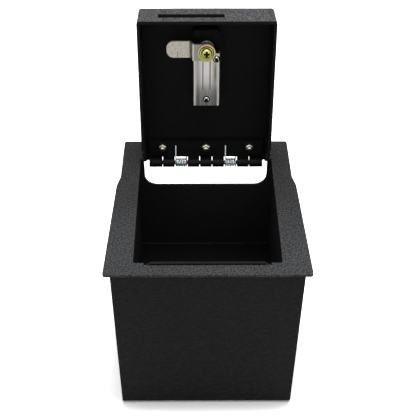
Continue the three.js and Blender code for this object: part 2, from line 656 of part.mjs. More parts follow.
function lockBody() {
  const top = PANEL_INSIDE - FIT;
  const nose = roundCorners(
    rectangle(-lockHalf, lockHalf, -LOCK_FRONT, -LOCK_SETBACK + COVER_FRONT_GAP - FIT),
    [NOSE_CORNER, NOSE_CORNER, 0, 0]);
  const base = roundCorners(
    rectangle(-lockHalf, lockHalf, -LOCK_FRONT, -LOCK_BACK), [NOSE_CORNER, NOSE_CORNER, 0, 0]);
  const block = roundCorners(
    rectangle(-blockHalf, blockHalf, COVER_FACE + COVER_SHEET + FIT, top), [COVER_BEND, COVER_BEND, 0, 0]);
  const bosses = [-1, 1].map((side) => upright(
    circle(BOSS_RADIUS, side * BOSS_SPACING / 2, -LOCK_FRONT + BOSS_SETBACK, 20),
    LID_FACE - NOSE_DROP - BOSS_RISE, top - 1));
  const body = joined(
    upright(base, LID_FACE - LOCK_BASE_DROP, top),
    lengthwise(block, -LOCK_SETBACK, -LOCK_BACK - COVER_SHEET - FIT),
    upright(nose, LID_FACE - NOSE_DROP, top),
    ...bosses,
  );
  const shankHoles = coverScrews.map(({ x, setback }) => upright(
    circle(COVER_SCREW_SHANK + FIT, x, -setback, 16),
    COVER_FACE - 1, COVER_FACE + COVER_SCREW_LENGTH + FIT));
  return without(
    body,
    upright(dialRoom, DIAL_HEIGHT - CHAMBER_HALF, top + 1),
    lengthwise(circle(AXLE_RADIUS + FIT, 0, DIAL_HEIGHT, 20),
      -FIRST_DIAL - CHAMBER_END - AXLE_SEAT - FIT, -LOCK_BACK + 1),
    upright(circle(SPINDLE_RADIUS + FIT, 0, -LOCK_SETBACK), COVER_FACE - 1, top + 1),
    upright(collarRoom, COVER_FACE - 1, LID_FACE - NOSE_DROP),
    ...shankHoles,
  );
}

const coverScrews = [
  { name: 'cover_screw_tail', head: TAIL_SCREW_HEAD, x: 0, setback: LOCK_BACK + TAIL_SCREW_INSET },
  {
    name: 'cover_screw_corner', head: CORNER_SCREW_HEAD,
    x: CORNER_SCREW_X, setback: LOCK_SETBACK - CORNER_SCREW_SETBACK,
  },
];

// Cover: a folded channel over the block, closed at its tail, with two grooves that leave a raised rib
function lockCover() {
  const low = LID_FACE - LOCK_BASE_DROP - FIT;
  const channel = (inset) => roundCorners(
    rectangle(-lockHalf + inset, lockHalf - inset, COVER_FACE + inset, low),
    [COVER_BEND - inset, COVER_BEND - inset, 0, 0]);
  const front = -LOCK_SETBACK + COVER_FRONT_GAP;
  const inside = roundCorners(
    rectangle(-lockHalf + COVER_SHEET, lockHalf - COVER_SHEET, COVER_FACE + COVER_SHEET, low + 1),
    [COVER_BEND - COVER_SHEET, COVER_BEND - COVER_SHEET, 0, 0]);
  const shell = without(
    solid(lengthwise(channel(0), front, -LOCK_BACK)),
    lengthwise(inside, front - 1, -LOCK_BACK - COVER_SHEET),
  );
  const grooves = [-1, 1].map((side) => upright(
    rectangle(side * RIB_SPACING / 2 - RIB_GROOVE_WIDTH / 2, side * RIB_SPACING / 2 + RIB_GROOVE_WIDTH / 2,
      front - 1, -LOCK_BACK - RIB_END_GAP),
    COVER_FACE - 1, COVER_FACE + RIB_GROOVE_DEPTH));
  const holes = coverScrews.map(({ x, setback }) => upright(
    circle(COVER_SCREW_SHANK + FIT, x, -setback, 16), COVER_FACE - 1, COVER_FACE + COVER_SHEET + 1));
  return without(
    shell,
    upright(collarRoom, COVER_FACE - 1, low + 1),
    ...grooves,
    ...holes,
  );
}

function bezel() {
  const half = lockHalf + BEZEL_MARGIN;
  const outline = roundCorners(
    rectangle(-half, half, -LOCK_FRONT - BEZEL_MARGIN, -LOCK_BACK + BEZEL_MARGIN), BEZEL_CORNER);
  const window = Math.sqrt(DIAL_RADIUS ** 2 - (LID_FACE - DIAL_HEIGHT) ** 2) + DIAL_CLEARANCE;
  const slit = DIAL_WIDTH / 2 + FIT;
  const windows = dialPlaces.map((setback) => rectangle(-window, window, -setback - slit, -setback + slit));
  const spindleHole = circle(SPINDLE_RADIUS + FIT, 0, -LOCK_SETBACK);
  return upright(outline, LID_FACE + FIT, BEZEL_TOP, [...windows, spindleHole]);
}

const dialPlaces = Array.from({ length: DIAL_COUNT }, (_, i) => FIRST_DIAL - DIAL_PITCH * i);

// Dial: a wheel with one finger notch between each two of its numbers
function dial() {
  const rim = Array.from({ length: DIAL_NOTCHES * 4 }, (_, i) => {
    const radius = DIAL_RADIUS - (i % 4 === 0 ? DIAL_NOTCH_DEPTH : 0);
    const angle = 2 * Math.PI * i / (DIAL_NOTCHES * 4);
    return new THREE.Vector2(radius * Math.cos(angle), radius * Math.sin(angle));
  });
  return lengthwise(rim, -DIAL_WIDTH / 2, DIAL_WIDTH / 2, [circle(AXLE_RADIUS + FIT, 0, 0, 20)]);
}

piece(lid, 'lock_body', lockBody(), blackZinc());
piece(lid, 'lock_cover', lockCover(), nickelPlate());
piece(lid, 'lock_bezel', bezel(), blackZinc());
dialPlaces.forEach((setback, i) => {
  piece(lid, `number_dial_${i + 1}`, dial().translate(0, -setback, DIAL_HEIGHT), blackPlastic());
});
piece(
  lid, 'dial_axle',
  lengthwise(circle(AXLE_RADIUS, 0, DIAL_HEIGHT, 16), -FIRST_DIAL - CHAMBER_END - AXLE_SEAT,
    -LAST_DIAL + CHAMBER_END + AXLE_SEAT),
  zincPlate(),
);
piece(
  lid, 'cam_collar',
  upright(circle(COLLAR_RADIUS, 0, -LOCK_SETBACK, 32), CAM_TOP + FIT, LID_FACE - NOSE_DROP - FIT,
    [circle(SPINDLE_RADIUS + FIT, 0, -LOCK_SETBACK)]),
  zincPlate(),
);
coverScrews.forEach(({ name, head, x, setback }) => {
  const fastener = geometryOf(
    screw(head, COVER_SCREW_HEIGHT, COVER_SCREW_SHANK, COVER_SCREW_LENGTH));
  piece(lid, name, fastener.rotateX(Math.PI).translate(x, -setback, COVER_FACE - FIT), zincPlate());
});

// Cam: flat on the spindle, stepped towards the lid, then the blade; it points left while unlocked
function cam() {
  const side = points(
    [CAM_WIDTH / 2, CAM_TOP], [-JOGGLE_START, CAM_TOP], [-JOGGLE_START - JOGGLE_RUN, CAM_TOP + CAM_JOGGLE],
    [-CAM_LENGTH, CAM_TOP + CAM_JOGGLE], [-CAM_LENGTH, CAM_BOTTOM + CAM_JOGGLE],
    [-JOGGLE_START - JOGGLE_RUN - CAM_SHEET / 2, CAM_BOTTOM + CAM_JOGGLE],
    [-JOGGLE_START - CAM_SHEET / 2, CAM_BOTTOM], [CAM_WIDTH / 2, CAM_BOTTOM]);
  const half = CAM_WIDTH / 2;
  const round = half - SLIVER;
  const plan = roundCorners(
    rectangle(-CAM_LENGTH, half, -half, half), [BLADE_TIP_RADIUS, round, round, BLADE_TIP_RADIUS]);
  const blank = solid(lengthwise(side, -half, half));
  const tang = TANG_WIDTH / 2 + FIT;
  return without(
    blank.intersect(solid(upright(plan, CAM_BOTTOM - 1, CAM_TOP + CAM_JOGGLE + 1))),
    upright(rectangle(-tang, tang, -tang, tang), CAM_BOTTOM - 1, CAM_TOP + 1),
  );
}

function spindle() {
  const tang = TANG_WIDTH / 2;
  const body = joined(
    new THREE.CylinderGeometry(SPINDLE_RADIUS, SPINDLE_RADIUS, BEZEL_TOP - CAM_TOP - FIT, 24)
      .rotateX(Math.PI / 2).translate(0, 0, (BEZEL_TOP + CAM_TOP + FIT) / 2),
    upright(rectangle(-tang, tang, -tang, tang), CAM_BOTTOM, CAM_TOP + 2),
  );
  return without(body, upright(
    circle(CAM_SCREW_SHANK + FIT, 0, 0, 16), CAM_BOTTOM - 1, CAM_BOTTOM + CAM_SCREW_LENGTH));
}

function washer() {
  const hole = CAM_SCREW_SHANK + FIT;
  const face = CAM_BOTTOM - FIT;
  const step = face - WASHER_HEIGHT;
  const end = step - WASHER_STEP_HEIGHT;
  return turned(points(
    [hole, end], [WASHER_STEP_RADIUS, end], [WASHER_STEP_RADIUS, step], [WASHER_RADIUS, step],
    [WASHER_RADIUS, face], [hole, face], [hole, end]));
}

// Knob: a round base with a finger grip that points the same way as the cam
function knob() {
  const low = BEZEL_TOP + FIT;
  const half = KNOB_GRIP_WIDTH / 2;
  const grip = roundCorners(rectangle(-KNOB_RADIUS, KNOB_RADIUS, -half, half), half - SLIVER);
  return joined(
    upright(circle(KNOB_RADIUS, 0, 0, 32), low, low + KNOB_BASE_HEIGHT),
    upright(grip, low, low + KNOB_BASE_HEIGHT + KNOB_GRIP_HEIGHT),
  );
}

const camFrame = new THREE.Group();
camFrame.position.set(0, -LOCK_SETBACK, 0);
lid.add(camFrame);
piece(camFrame, 'cam', cam(), nickelPlate());
piece(camFrame, 'spindle', spindle(), zincPlate());
piece(camFrame, 'cam_washer', washer(), yellowZinc());
piece(camFrame, 'knob', knob(), blackZinc());
const camScrew = geometryOf(screw(CAM_SCREW_HEAD, CAM_SCREW_HEIGHT, CAM_SCREW_SHANK, CAM_SCREW_LENGTH));
piece(
  camFrame, 'cam_screw',
  camScrew.rotateX(Math.PI).translate(0, 0, CAM_BOTTOM - WASHER_HEIGHT - WASHER_STEP_HEIGHT - 2 * FIT),
  yellowZinc(),
);

export default safe;
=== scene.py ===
import json
import math

import bmesh
import bpy
from mathutils import Matrix, Vector


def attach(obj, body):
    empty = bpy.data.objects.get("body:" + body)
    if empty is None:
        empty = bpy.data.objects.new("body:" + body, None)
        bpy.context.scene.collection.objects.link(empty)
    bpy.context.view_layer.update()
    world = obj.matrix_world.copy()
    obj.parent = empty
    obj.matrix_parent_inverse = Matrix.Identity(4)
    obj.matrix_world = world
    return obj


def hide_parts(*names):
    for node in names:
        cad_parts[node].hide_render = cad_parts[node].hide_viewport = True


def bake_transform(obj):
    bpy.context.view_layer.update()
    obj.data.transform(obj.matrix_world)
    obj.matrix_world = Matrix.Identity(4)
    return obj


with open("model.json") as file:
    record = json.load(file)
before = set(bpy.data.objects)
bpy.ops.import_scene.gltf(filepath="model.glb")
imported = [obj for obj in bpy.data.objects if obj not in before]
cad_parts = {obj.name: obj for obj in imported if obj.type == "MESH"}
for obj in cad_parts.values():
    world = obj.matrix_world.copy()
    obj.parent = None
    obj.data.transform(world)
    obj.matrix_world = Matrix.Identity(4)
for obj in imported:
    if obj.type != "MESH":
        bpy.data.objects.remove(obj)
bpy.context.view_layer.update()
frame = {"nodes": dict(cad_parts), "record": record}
NODES = frame["nodes"]

MM = 0.001

# Places of the CAD that the pieces and finishes follow, in millimetres.
# The lid's frame: x to the right, s from the hinge axis along the lid, o out of its inside.
JOINTS = {joint["name"]: joint for joint in frame["record"]["behaviour"]["joints"]}
HINGE = Vector(JOINTS["lid_hinge"]["pos_m"])
LID_TILT = math.radians(80)
LID = Matrix.Translation(HINGE) @ Matrix.Rotation(LID_TILT, 4, "X") @ Matrix.Scale(MM, 4)
LID_HALF = 64.5
LID_FACE = -12.41
LID_REACH = 157.8
LIP_EDGE = 24.9
SLOT_X = (-45.2, 16.6)
SLOT_O = (4.4, 14.2)
LOCK_S = 125.9
COVER_HALF = 13.0
COVER_TAIL_S = 70.0
COVER_FACE = 15.59
COVER_GROOVE_X = (2.9, 3.9)
COVER_GROOVE_S = 87
NOSE_FACE = 5.59
COVER_SCREWS = {"cover_screw_tail": (0, 77.5), "cover_screw_corner": (9.4, 118.4)}
CAM_STAMP_X = (-27.9, -27.3)
CAM_STAMP_S = (118.2, 124.5)
CAM_STEP_X = (-16.2, -13.6)
CAM_PLATE_X = -12.6
CAM_SCREW_FACE = 20
KNOB_FACE = -24.6
BEZEL_FACE = -15.0
DIAL_S = [107.9 - 8.5 * i for i in range(4)]
DIAL_O = -6.91
DIAL_RADIUS = 9.5
NUT_S = 17.5
NUT_X = {"left": -44.7, "middle": 0, "right": 44.7}
LEAF_FACE = -2.05
KNUCKLE_PITCH = 12.8
TUB_TOP = 196.4
TUB_FRONT_Y = -63.0
TUB_DEPTH = 182
TUB_FRONT_HALF = 87.45
TUB_BACK_HALF = 74.9
TUB_TAPER = (TUB_FRONT_HALF - TUB_BACK_HALF) / TUB_DEPTH

# A finish changes from outside to inside at this depth in the tub's sheet, over SHEET_SOFT to each side.
SHEET_MIDDLE = 1.3
SHEET_SOFT = 0.3


# Materials

def grey(level, warm=0.0):
    return (level * (1 + warm), level, level * (1 - warm))


def fill_ramp(node, stops):
    elements = node.color_ramp.elements
    while len(elements) < len(stops):
        elements.new(0.5)
    for element, (position, colour) in zip(elements, stops):
        element.position = position
        element.color = (*colour, 1)


class Shader:
    """A node material with short calls for the nodes that the finishes share."""

    def __init__(self, name):
        self.material = bpy.data.materials.new(name)
        self.material.use_nodes = True
        self.nodes = self.material.node_tree.nodes
        self.links = self.material.node_tree.links
        self.surface = self.nodes["Principled BSDF"]
        self.place = self.nodes.new("ShaderNodeTexCoord").outputs["Object"]

    def set(self, **values):
        for key, value in values.items():
            self.surface.inputs[key.replace("_", " ")].default_value = value
        return self

    def feed(self, socket, value):
        self.links.new(value, self.surface.inputs[socket])

    def stretched(self, factors, vector=None):
        node = self.nodes.new("ShaderNodeMapping")
        node.inputs["Scale"].default_value = factors
        self.links.new(vector or self.place, node.inputs["Vector"])
        return node.outputs["Vector"]

    def lid_place(self):
        """Distances in the lid's frame, in millimetres: x, s and o, for a CAD node of the lid."""
        node = self.nodes.new("ShaderNodeMapping")
        node.vector_type = "TEXTURE"
        node.inputs["Location"].default_value = HINGE
        node.inputs["Rotation"].default_value = (LID_TILT, 0, 0)
        node.inputs["Scale"].default_value = (MM, MM, MM)
        self.links.new(self.place, node.inputs["Vector"])
        return node.outputs["Vector"]

    def parts(self, vector):
        node = self.nodes.new("ShaderNodeSeparateXYZ")
        self.links.new(vector, node.inputs["Vector"])
        return node.outputs["X"], node.outputs["Y"], node.outputs["Z"]

    def noise(self, grain, detail=3.0, roughness=0.6, vector=None):
        node = self.nodes.new("ShaderNodeTexNoise")
        node.inputs["Scale"].default_value = 1 / grain
        node.inputs["Detail"].default_value = detail
        node.inputs["Roughness"].default_value = roughness
        self.links.new(vector or self.place, node.inputs["Vector"])
        return node.outputs["Fac"]

    def ramp(self, value, *stops):
        node = self.nodes.new("ShaderNodeValToRGB")
        fill_ramp(node, stops)
        self.links.new(value, node.inputs["Fac"])
        return node.outputs["Color"]

    def spread(self, noise, low, high, span=(0.3, 0.7)):
        """From the colour low in the noise's valleys to the colour high on its peaks."""
        return self.ramp(noise, (span[0], low), (span[1], high))

    def gloss(self, noise, low, high):
        """Roughness that follows a noise."""
        self.feed("Roughness", self.spread(noise, grey(low), grey(high)))

    def math(self, operation, a, b=0.0):
        node = self.nodes.new("ShaderNodeMath")
        node.operation = operation
        for socket, value in zip(node.inputs, (a, b)):
            if isinstance(value, (int, float)):
                socket.default_value = value
            else:
                self.links.new(value, socket)
        return node.outputs["Value"]

    def rise(self, value, low, high):
        """0 below low, 1 above high, smooth between; falls instead where low is above high."""
        node = self.nodes.new("ShaderNodeMapRange")
        node.interpolation_type = "SMOOTHSTEP"
        node.inputs["From Min"].default_value = min(low, high)
        node.inputs["From Max"].default_value = max(low, high)
        node.inputs["To Min"].default_value = 0.0 if low < high else 1.0
        node.inputs["To Max"].default_value = 1.0 if low < high else 0.0
        self.links.new(value, node.inputs["Value"])
        return node.outputs["Result"]

    def band(self, value, low, high, soft):
        """1 between low and high, 0 outside them, with edges that are soft to both sides."""
        above = self.rise(value, low - soft, low + soft)
        below = self.rise(value, high + soft, high - soft)
        return self.math("MINIMUM", above, below)

    def all_of(self, first, *others):
        for other in others:
            first = self.math("MULTIPLY", first, other)
        return first

    def mixed(self, factor, a, b, blend="MIX"):
        node = self.nodes.new("ShaderNodeMix")
        node.data_type = "RGBA"
        node.blend_type = blend
        for index, value in ((0, factor), (6, a), (7, b)):
            if isinstance(value, (int, float)):
                node.inputs[index].default_value = value
            elif isinstance(value, tuple):
                node.inputs[index].default_value = (*value, 1)
            else:
                self.links.new(value, node.inputs[index])
        return node.outputs[2]

    def times(self, tone, other):
        return self.mixed(1.0, tone, other, "MULTIPLY")

    def laid(self, tone, mask, share, colour):
        """The tone with a share of a colour over it where the mask is 1."""
        return self.mixed(self.math("MULTIPLY", mask, share), tone, colour)

    def relief(self, height, depth, strength=1.0):
        node = self.nodes.new("ShaderNodeBump")
        node.inputs["Distance"].default_value = depth
        node.inputs["Strength"].default_value = strength
        self.links.new(height, node.inputs["Height"])
        self.feed("Normal", node.outputs["Normal"])


def lid_inside(s):
    """1 on the inner faces of the lid's pan, in its slot and on its lips' edges, 0 on its outer faces."""
    x, along, out = s.parts(s.lid_place())
    pocket = s.all_of(
        s.rise(s.math("ABSOLUTE", x), LID_HALF - 1.4, LID_HALF - 1.9),
        s.rise(out, LID_FACE + 1.0, LID_FACE + 1.5),
        s.rise(along, LID_REACH - 1.4, LID_REACH - 1.9))
    slot = s.all_of(
        s.band(x, *SLOT_X, 0.05), s.band(out, *SLOT_O, 0.05), s.rise(along, LID_REACH + 0.4, LID_REACH - 0.25))
    rim = s.rise(out, LIP_EDGE - 0.3, LIP_EDGE + 0.3)
    return s.math("MAXIMUM", s.math("MAXIMUM", pocket, slot), rim)


def tub_breadth(s, x, y):
    """Distance from the tub's middle plane, as it would be at the tub's front: side walls have one value."""
    behind_front = s.math("ADD", y, -TUB_FRONT_Y)
    return s.math("ADD", s.math("ABSOLUTE", x), s.math("MULTIPLY", behind_front, TUB_TAPER))


def tub_inside(s):
    """1 on the inner faces of the tub, 0 elsewhere."""
    x, y, z = s.parts(s.stretched((1 / MM, 1 / MM, 1 / MM)))
    wall = TUB_FRONT_HALF - SHEET_MIDDLE
    front = TUB_FRONT_Y + SHEET_MIDDLE
    back = TUB_FRONT_Y + TUB_DEPTH - SHEET_MIDDLE
    return s.all_of(
        s.rise(tub_breadth(s, x, y), wall + SHEET_SOFT, wall - SHEET_SOFT),
        s.band(y, front, back, SHEET_SOFT),
        s.rise(z, SHEET_MIDDLE - SHEET_SOFT, SHEET_MIDDLE + SHEET_SOFT))


def powder_coat(
        name, low, high, grain, depth, roughness, shine, inside=None, inner=0.0, back_shade_level=1.0, drawn=1.0):
    """Textured powder coat: pebbled grain, fine sparkle and slow blotches.

    inside masks the faces that take the inner level in place of the coat, as painted light and shade, and those
    of them that face up are painted nearly black, as shade;
    the back share is the share of the tone that is left at the back, painted shade that darkens the tone
    towards the back, and drawn below 1 stretches the grain from left to right.
    """
    s = Shader(name).set(Specular_IOR_Level=shine)
    along = s.stretched((drawn, 1, 1))
    pebbles = s.noise(grain, 2.0, 0.6, along)
    fine = s.noise(grain * 0.42, 2.0, 0.5, along)
    blotches = s.noise(0.045, 3.0, 0.55)
    base = s.ramp(pebbles, (0.4, grey(low)), (0.5, grey((low + high) / 2)), (0.62, grey(high)))
    colour = s.times(base, s.spread(blotches, (0.82, 0.84, 0.89), (1.05, 1.08, 1.14)))
    # Painted shade: the tone darkens towards the back.
    if back_shade_level < 1:
        _, back, _ = s.parts(s.place)
        painted_back_shade = s.ramp(
            s.rise(back, -0.075, 0.08), (0, grey(1.0)), (0.5, grey(0.5 + back_shade_level / 2)), (1, grey(back_shade_level)))
        colour = s.times(colour, painted_back_shade)
    # Painted light and shade: inner faces take the inner level in place of the coat, and those that face up are
    # painted nearly black.
    if inside:
        painted_inside_tone = s.spread(fine, grey(inner * 0.8), grey(inner * 1.2))
        _, _, facing_up = s.parts(s.nodes.new("ShaderNodeNewGeometry").outputs["Normal"])
        painted_inside_tone = s.mixed(s.rise(facing_up, 0.5, 0.8), painted_inside_tone, grey(0.003))
        colour = s.mixed(inside(s), colour, painted_inside_tone)
    s.feed("Base Color", colour)
    s.gloss(fine, roughness - 0.08, roughness + 0.1)
    s.relief(s.math("ADD", pebbles, s.math("MULTIPLY", fine, 0.5)), depth)
    return s.material


def black_enamel(name, level, roughness, grain, depth, shine=0.4, marks=None):
    """Black oxide or enamel on steel: nearly smooth, with dust-fine grain."""
    s = Shader(name).set(Specular_IOR_Level=shine)
    fine = s.noise(grain)
    rubbed = s.noise(0.008, 4.0)
    colour = s.spread(rubbed, grey(level * 0.8), grey(level * 1.4), (0.35, 0.72))
    if marks:
        colour = s.mixed(marks(s), colour, grey(0.72))
    s.feed("Base Color", colour)
    s.gloss(fine, roughness - 0.06, roughness + 0.1)
    s.relief(fine, depth)
    return s.material


def plated(name, colour, roughness, grain=1.2 * MM):
    """Bright plating on small turned or pressed pieces: fine mottle, smudged gloss."""
    s = Shader(name).set(Metallic=1.0)
    mottle = s.noise(grain)
    dull = tuple(channel * 0.86 for channel in colour)
    bright = tuple(min(1, channel * 1.06) for channel in colour)
    s.feed("Base Color", s.spread(mottle, dull, bright))
    s.gloss(s.noise(3 * MM), roughness * 0.8, roughness * 1.4)
    s.relief(mottle, 0.01 * MM, 0.4)
    return s.material


def cover_nickel():
    """Drawn nickel of the lock's cover: lines along its length and a stain, with painted reflections in bands
    across it that fade to dark towards the tail, and painted shade in its grooves.
    """
    s = Shader("cover_satin_nickel").set(Metallic=1.0)
    local = s.lid_place()
    x, along, out = s.parts(local)
    aside = s.math("ABSOLUTE", x)
    lines = s.noise(0.6, vector=s.stretched((1, 0.02, 0.3), local))
    across = s.math("DIVIDE", s.math("ADD", x, COVER_HALF), 2 * COVER_HALF)
    # Painted reflections across the cover: bright bands at the rounded side edges and in the middle, dark bands
    # between them.
    tone = s.ramp(
        across,
        (0.0, grey(0.52, 0.03)), (0.06, grey(0.78, 0.05)), (0.17, grey(0.36, 0.06)), (0.29, grey(0.74, 0.05)),
        (0.4, grey(0.83, 0.05)), (0.6, grey(0.83, 0.05)), (0.7, grey(0.74, 0.05)), (0.81, grey(0.36, 0.08)),
        (0.93, grey(0.76, 0.06)), (1.0, grey(0.52, 0.03)))
    from_tail = s.math("DIVIDE", s.math("SUBTRACT", along, COVER_TAIL_S), 40.0)
    # Painted reflection: the cover fades to dark towards its tail, except at its side edges.
    painted_reflection_fade = s.ramp(
        from_tail,
        (0.0, grey(0.17)), (0.25, grey(0.2)), (0.42, grey(0.36)), (0.62, grey(0.82)), (0.85, grey(1.0)))
    painted_reflection_fade = s.mixed(s.rise(aside, 9.0, 11.6), painted_reflection_fade, grey(1.0))
    tone = s.times(tone, painted_reflection_fade)
    tone = s.mixed(0.2, tone, s.spread(lines, grey(0.2, 0.03), grey(0.9, 0.01), (0.35, 0.65)))
    stain = s.all_of(s.band(x, 7.4, 9.4, 1.0), s.band(along, 97, 112, 5))
    tone = s.laid(tone, stain, 0.7, (0.13, 0.12, 0.085))
    # Painted shade in the grooves below the cover's face.
    groove_shade = s.all_of(
        s.band(aside, *COVER_GROOVE_X, 0.12),
        s.rise(out, COVER_FACE - 0.05, COVER_FACE - 0.3),
        s.rise(along, COVER_GROOVE_S - 1, COVER_GROOVE_S + 1))
    tone = s.laid(tone, groove_shade, 0.8, grey(0.08))
    s.feed("Base Color", tone)
    s.gloss(s.noise(5.0, vector=local), 0.3, 0.4)
    s.relief(lines, 0.01 * MM, 0.5)
    return s.material


def cam_nickel():
    """Stamped cam: warm and speckled, a short stamped line on the blade, painted shade in its step and over its
    inner plate, a painted highlight along the inner plate's edge.
    """
    s = Shader("cam_warm_nickel").set(Metallic=1.0)
    local = s.lid_place()
    x, along, _ = s.parts(local)
    speckle = s.noise(0.9, 4.0, 0.7, local)
    cloud = s.noise(4.0, vector=local)
    tone = s.ramp(speckle, (0.36, (0.42, 0.39, 0.33)), (0.5, (0.62, 0.585, 0.51)), (0.66, (0.84, 0.8, 0.72)))
    tone = s.mixed(s.spread(cloud, grey(0), grey(0.4), (0.4, 0.66)), tone, (0.5, 0.46, 0.38))
    stamp = s.all_of(s.band(x, *CAM_STAMP_X, 0.15), s.band(along, *CAM_STAMP_S, 0.8))
    tone = s.laid(tone, stamp, 0.8, grey(0.16))
    # Painted shade: the inner plate is darker than the blade.
    inner_plate_shade = s.rise(x, CAM_PLATE_X - 0.3, CAM_PLATE_X + 0.3)
    tone = s.times(tone, s.ramp(inner_plate_shade, (0, grey(1.0)), (1, grey(0.6))))
    # Painted highlight along the inner plate's edge.
    painted_edge_highlight = s.band(x, CAM_PLATE_X - 0.5, CAM_PLATE_X + 0.3, 0.2)
    tone = s.laid(tone, painted_edge_highlight, 0.8, (0.95, 0.92, 0.86))
    # Painted shade in the step.
    tone = s.laid(tone, s.band(x, *CAM_STEP_X, 0.2), 0.75, (0.1, 0.09, 0.06))
    s.feed("Base Color", tone)
    s.gloss(cloud, 0.32, 0.5)
    s.relief(speckle, 0.04 * MM, 0.6)
    return s.material


def yellow_zinc():
    """Yellow passivated zinc: gold rings on the turned faces with two dark rings of painted shade, a red arc at
    the top, green at the right, and the screw's cross slot and middle painted black as shade.
    """
    s = Shader("yellow_passivated_zinc").set(Metallic=0.85)
    x, along, out = s.parts(s.lid_place())
    up = s.math("SUBTRACT", along, LOCK_S)
    radius = s.math("SQRT", s.math("ADD", s.math("MULTIPLY", x, x), s.math("MULTIPLY", up, up)))
    wave = s.math("MULTIPLY", s.math("SUBTRACT", s.noise(2 * MM, roughness=0.55), 0.5), 0.6)
    turned = s.math("MULTIPLY", s.math("ADD", radius, wave), 0.1)
    gold, pale, olive = (0.62, 0.6, 0.12), (0.7, 0.66, 0.28), (0.16, 0.14, 0.04)
    # Painted shade: two dark rings, one just outside the screw's head and one further out.
    inner_ring_shade, outer_ring_shade = (0.02, 0.018, 0.008), (0.01, 0.008, 0.005)
    rings = s.ramp(
        turned,
        (0.0, gold), (0.42, (0.82, 0.8, 0.22)), (0.46, olive), (0.475, inner_ring_shade), (0.52, inner_ring_shade),
        (0.54, (1.0, 0.96, 0.3)), (0.6, (1.0, 0.94, 0.28)), (0.62, outer_ring_shade), (0.68, outer_ring_shade),
        (0.7, pale), (0.77, (0.78, 0.72, 0.28)), (0.82, (0.56, 0.36, 0.28)))
    towards_top = s.rise(s.math("DIVIDE", up, radius), 0.55, 0.8)
    red = s.all_of(s.band(radius, 5.5, 6.5, 0.3), towards_top, s.rise(x, 3.5, 1.5))
    rings = s.laid(rings, red, 0.85, (0.26, 0.02, 0.015))
    towards_right = s.rise(s.math("DIVIDE", x, radius), 0.8, 0.94)
    rings = s.laid(rings, s.all_of(s.band(radius, 5.1, 6.1, 0.3), towards_right), 0.6, (0.05, 0.3, 0.08))
    low_left = s.all_of(s.rise(up, 0.5, -4.0), s.rise(x, 3.0, -3.0))
    rings = s.laid(rings, low_left, 0.3, (0.42, 0.6, 0.1))
    # Painted shade: the cross slot and the middle of the screw's head are painted near black.
    arm, half_slot, soft = 2.9, 1.1, 0.15
    cross = s.math(
        "MAXIMUM",
        s.all_of(s.band(x, -arm, arm, soft), s.band(up, -half_slot, half_slot, soft)),
        s.all_of(s.band(up, -arm, arm, soft), s.band(x, -half_slot, half_slot, soft)))
    on_head = s.rise(out, CAM_SCREW_FACE, CAM_SCREW_FACE + 1)
    recess_shade = s.math("MAXIMUM", s.all_of(cross, on_head), s.all_of(s.rise(radius, 1.5, 0.8), on_head))
    s.feed("Base Color", s.mixed(recess_shade, rings, grey(0.01)))
    s.gloss(s.noise(1.6 * MM, roughness=0.55), 0.22, 0.42)
    s.relief(s.noise(0.7 * MM, roughness=0.55), 0.02 * MM, 0.4)
    return s.material


def knob_marks(s):
    """White pointer line along the knob's grip."""
    x, along, out = s.parts(s.lid_place())
    return s.all_of(
        s.band(x, -7.4, -1.5, 0.1), s.band(along, LOCK_S - 0.5, LOCK_S + 0.5, 0.08),
        s.rise(out, KNOB_FACE, KNOB_FACE - 0.3))


def bezel_marks(s):
    """White index lines beside each dial's window."""
    x, along, out = s.parts(s.lid_place())
    beside = s.band(s.math("ABSOLUTE", x), 9.9, 12.2, 0.06)
    level, *others = [s.band(along, place - 0.3, place + 0.3, 0.06) for place in DIAL_S]
    for other in others:
        level = s.math("MAXIMUM", level, other)
    return s.all_of(beside, level, s.rise(out, BEZEL_FACE, BEZEL_FACE - 0.15))


def white_paint():
    s = Shader("dial_numbers").set(Roughness=0.5)
    s.feed("Base Color", s.spread(s.noise(0.5 * MM), grey(0.62), grey(0.85), (0.3, 0.6)))
    return s.material


# The flange's coat is painted darker towards the back, as shade.
FLANGE_COAT = powder_coat("flange_powder_coat", 0.012, 0.094, 1.5 * MM, 0.4 * MM, 0.62, 0.2, back_shade_level=0.48)
# The lid's inner faces, slot and lips' edges are painted near black, as shade.
LID_COAT = powder_coat("lid_powder_coat", 0.002, 0.138, 1.7 * MM, 0.6 * MM, 0.62, 0.15, lid_inside, 0.004)
# The tub's coat is the same powder coat as the flange's, set much darker outside as painted shade on the tub's
# sides and front; its inner faces are painted lighter, as bounce light.
TUB_COAT = powder_coat(
    "tub_powder_coat", 0.0015, 0.012, 1.2 * MM, 0.2 * MM, 0.6, 0.17, tub_inside, 0.034, drawn=0.4)
HINGE_BLACK = black_enamel("hinge_black_steel", 0.006, 0.45, 0.8 * MM, 0.03 * MM, 0.12)
LOCK_BLACK = black_enamel("lock_black_zinc", 0.004, 0.45, 0.5 * MM, 0.02 * MM, 0.07)
KNOB_BLACK = black_enamel("knob_black", 0.008, 0.34, 0.5 * MM, 0.01 * MM, marks=knob_marks)
BEZEL_BLACK = black_enamel("bezel_black", 0.008, 0.42, 0.6 * MM, 0.03 * MM, 0.35, bezel_marks)
DIAL_BLACK = black_enamel("dial_black", 0.014, 0.32, 0.4 * MM, 0.01 * MM, 0.5)
COLLAR_GREY = plated("collar_dark_zinc", (0.26, 0.25, 0.24), 0.45)
ZINC = plated("bright_zinc_plate", (0.8, 0.83, 0.86), 0.2)
SPRING_ZINC = plated("spring_zinc_plate", (0.84, 0.93, 0.97), 0.28, 0.6 * MM)
NUT_ZINC = plated("nut_zinc_plate", (0.86, 0.83, 0.72), 0.24)
